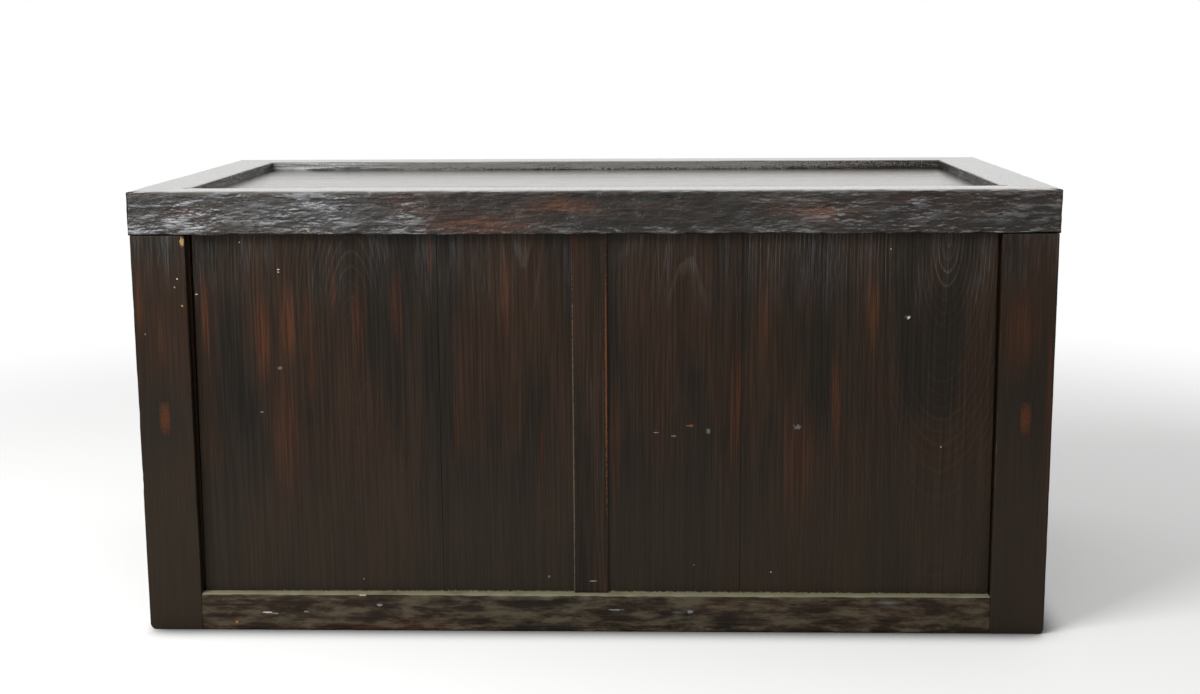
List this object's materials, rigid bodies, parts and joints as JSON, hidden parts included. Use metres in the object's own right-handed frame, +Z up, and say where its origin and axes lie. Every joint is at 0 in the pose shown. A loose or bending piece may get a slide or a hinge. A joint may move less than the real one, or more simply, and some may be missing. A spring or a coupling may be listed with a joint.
{
  "type": "kang cabinet",
  "caption": "Long low cabinet with a framed sunk top, corner posts, sunk panels on rear and ends, an inner shelf and two pivoting front doors with hanging pulls.",
  "frame": {"origin": "On the floor, under the middle of the top.", "axes": "+Z is up, -Y faces the doors, +Y faces the panelled rear and +X is the right-hand end for someone who stands before the doors."},
  "size_m": [1.18, 0.61, 0.58],
  "materials": {
    "lacquered_wood": "very dark brown lacquer on softwood, worn thin along the edges",
    "bare_wood": "unlacquered softwood darkened with age",
    "old_brass": "dull patinated brass"
  },
  "bodies": {
    "carcass": {"top_rail_front": "lacquered_wood", "top_rail_back": "lacquered_wood", "top_end_left": "lacquered_wood", "top_end_right": "lacquered_wood", "top_board_front": "lacquered_wood", "top_board_middle": "lacquered_wood", "top_board_back": "lacquered_wood", "top_battens": "bare_wood", "post_front_left": "lacquered_wood", "post_front_right": "lacquered_wood", "post_back_left": "lacquered_wood", "post_back_right": "lacquered_wood", "bottom_rail_front": "lacquered_wood", "bottom_rail_back": "lacquered_wood", "bottom_rail_left": "lacquered_wood", "bottom_rail_right": "lacquered_wood", "side_mid_rail_left": "lacquered_wood", "side_mid_rail_right": "lacquered_wood", "side_panel_left_upper": "lacquered_wood", "side_panel_left_lower": "lacquered_wood", "side_panel_right_upper": "lacquered_wood", "side_panel_right_lower": "lacquered_wood", "back_muntin": "lacquered_wood", "back_board_left_outer": "lacquered_wood", "back_board_left_inner": "lacquered_wood", "back_board_right_inner": "lacquered_wood", "back_board_right_outer": "lacquered_wood", "front_centre_stile": "lacquered_wood", "shelf_boards": "bare_wood", "shelf_bearer": "bare_wood", "floor_boards": "bare_wood", "floor_battens": "bare_wood", "centre_plate": "old_brass", "centre_lock_staple": "old_brass", "centre_nails": "old_brass"},
    "door_left": {"door_left_pivot_stile": "lacquered_wood", "door_left_lock_stile": "lacquered_wood", "door_left_top_rail": "lacquered_wood", "door_left_bottom_rail": "lacquered_wood", "door_left_panel": "lacquered_wood", "door_left_batten": "bare_wood", "door_left_plate": "old_brass", "door_left_lock_staple": "old_brass", "door_left_pull_staple": "old_brass", "door_left_nails": "old_brass"},
    "pull_left": {"door_left_pull": "old_brass"},
    "door_right": {"door_right_pivot_stile": "lacquered_wood", "door_right_lock_stile": "lacquered_wood", "door_right_top_rail": "lacquered_wood", "door_right_bottom_rail": "lacquered_wood", "door_right_panel": "lacquered_wood", "door_right_batten": "bare_wood", "door_right_plate": "old_brass", "door_right_lock_staple": "old_brass", "door_right_pull_staple": "old_brass", "door_right_nails": "old_brass"},
    "pull_right": {"door_right_pull": "old_brass"}
  },
  "joints": [
    {"name": "door_left_swing", "type": "hinge", "parent": "carcass", "child": "door_left", "pos_m": [-0.503, -0.275, 0.05], "axis": [0, 0, -1], "range_deg": [0, 92]},
    {"name": "pull_left_swing", "type": "hinge", "parent": "door_left", "child": "pull_left", "pos_m": [-0.0515, -0.2987, 0.275], "axis": [-1, 0, 0], "range_deg": [-8, 170]},
    {"name": "door_right_swing", "type": "hinge", "parent": "carcass", "child": "door_right", "pos_m": [0.503, -0.275, 0.05], "axis": [0, 0, 1], "range_deg": [0, 92]},
    {"name": "pull_right_swing", "type": "hinge", "parent": "door_right", "child": "pull_right", "pos_m": [0.0515, -0.2987, 0.275], "axis": [-1, 0, 0], "range_deg": [-8, 170]}
  ]
}
